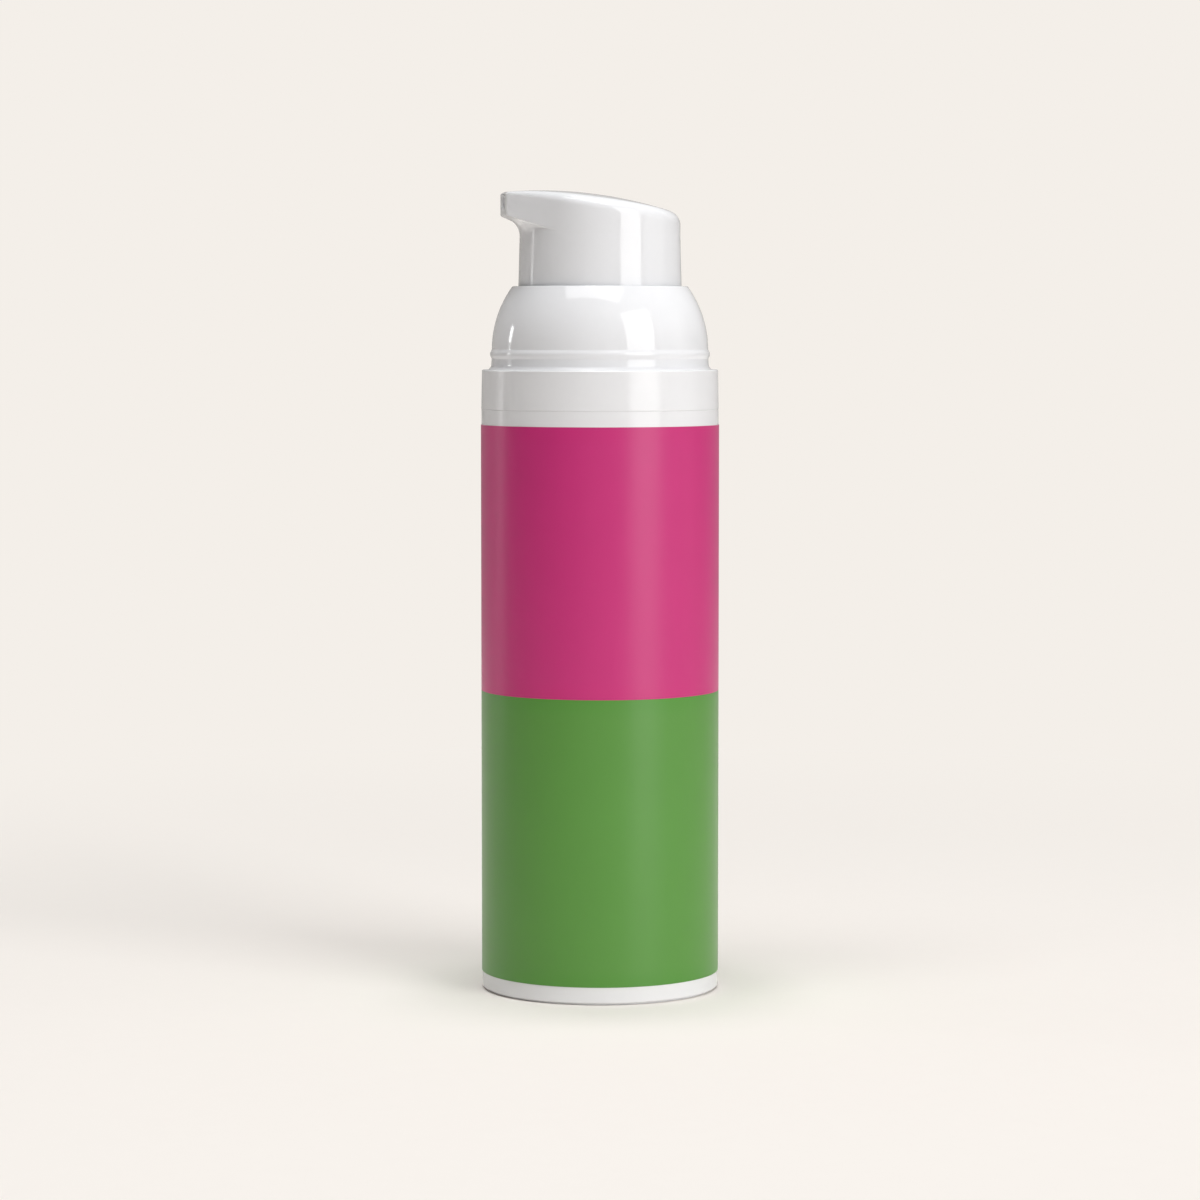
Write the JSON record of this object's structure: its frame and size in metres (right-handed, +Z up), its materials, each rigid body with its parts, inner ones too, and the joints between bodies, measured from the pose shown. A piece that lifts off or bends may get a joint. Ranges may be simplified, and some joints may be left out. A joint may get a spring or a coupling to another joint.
{
  "type": "airless pump bottle",
  "caption": "Cylindrical airless pump bottle with a domed shoulder, a press-down head with a short spout, wrap-around colour bands and a rising inner piston.",
  "frame": {"origin": "centre of the base's underside, on the surface that the bottle stands on", "axes": "+Z up along the bottle's axis, spout along -X, +Y to the far side of the bottle with the spout at the left"},
  "size_m": [0.037, 0.037, 0.1241],
  "materials": {
    "gloss_white": "glossy moulded polypropylene",
    "satin_white": "satin moulded polypropylene",
    "pink_film": "satin printed film",
    "green_film": "satin printed film",
    "natural_plastic": "natural polypropylene",
    "soft_plastic": "soft polyethylene",
    "seal_rubber": "matt elastomer",
    "spring_steel": "drawn wire",
    "ball_steel": "polished"
  },
  "bodies": {
    "bottle": {"outer_sleeve": "satin_white", "label_lower_band": "green_film", "label_upper_band": "pink_film", "inner_cartridge": "natural_plastic", "base_cap": "satin_white", "collar_ring": "satin_white", "dome_closure": "gloss_white", "neck_gasket": "seal_rubber", "pump_housing": "natural_plastic", "ball_retainer": "natural_plastic", "guide_cap": "natural_plastic", "return_spring": "spring_steel"},
    "plunger": {"stem": "natural_plastic", "valve_rod": "natural_plastic"},
    "pump_head": {"actuator_core": "natural_plastic", "actuator_shell": "gloss_white", "nozzle_insert": "satin_white"},
    "metering_seal": {"metering_piston": "soft_plastic"},
    "ball": {"inlet_ball": "ball_steel"},
    "follower": {"follower_piston": "soft_plastic"}
  },
  "joints": [
    {"name": "actuator_press", "type": "slide", "parent": "bottle", "child": "plunger", "axis": [0, 0, -1], "range_m": [0, 0.006], "stiffness_N_per_m": 1300, "springref_m": -0.008, "deforming": ["return_spring"]},
    {"name": "head_turn", "type": "hinge", "parent": "plunger", "child": "pump_head", "pos_m": [0, 0, 0.1135], "axis": [0, 0, 1], "continuous": true},
    {"name": "metering_piston_slide", "type": "slide", "parent": "bottle", "child": "metering_seal", "axis": [0, 0, -1], "range_m": [0, 0.0054]},
    {"name": "inlet_ball_lift", "type": "slide", "parent": "bottle", "child": "ball", "axis": [0, 0, 1], "range_m": [0, 0.0009]},
    {"name": "follower_rise", "type": "slide", "parent": "bottle", "child": "follower", "axis": [0, 0, 1], "range_m": [0, 0.0689]}
  ],
  "couplings": [
    {"joint": "metering_piston_slide", "follows": "actuator_press", "ratio": 0.9}
  ]
}
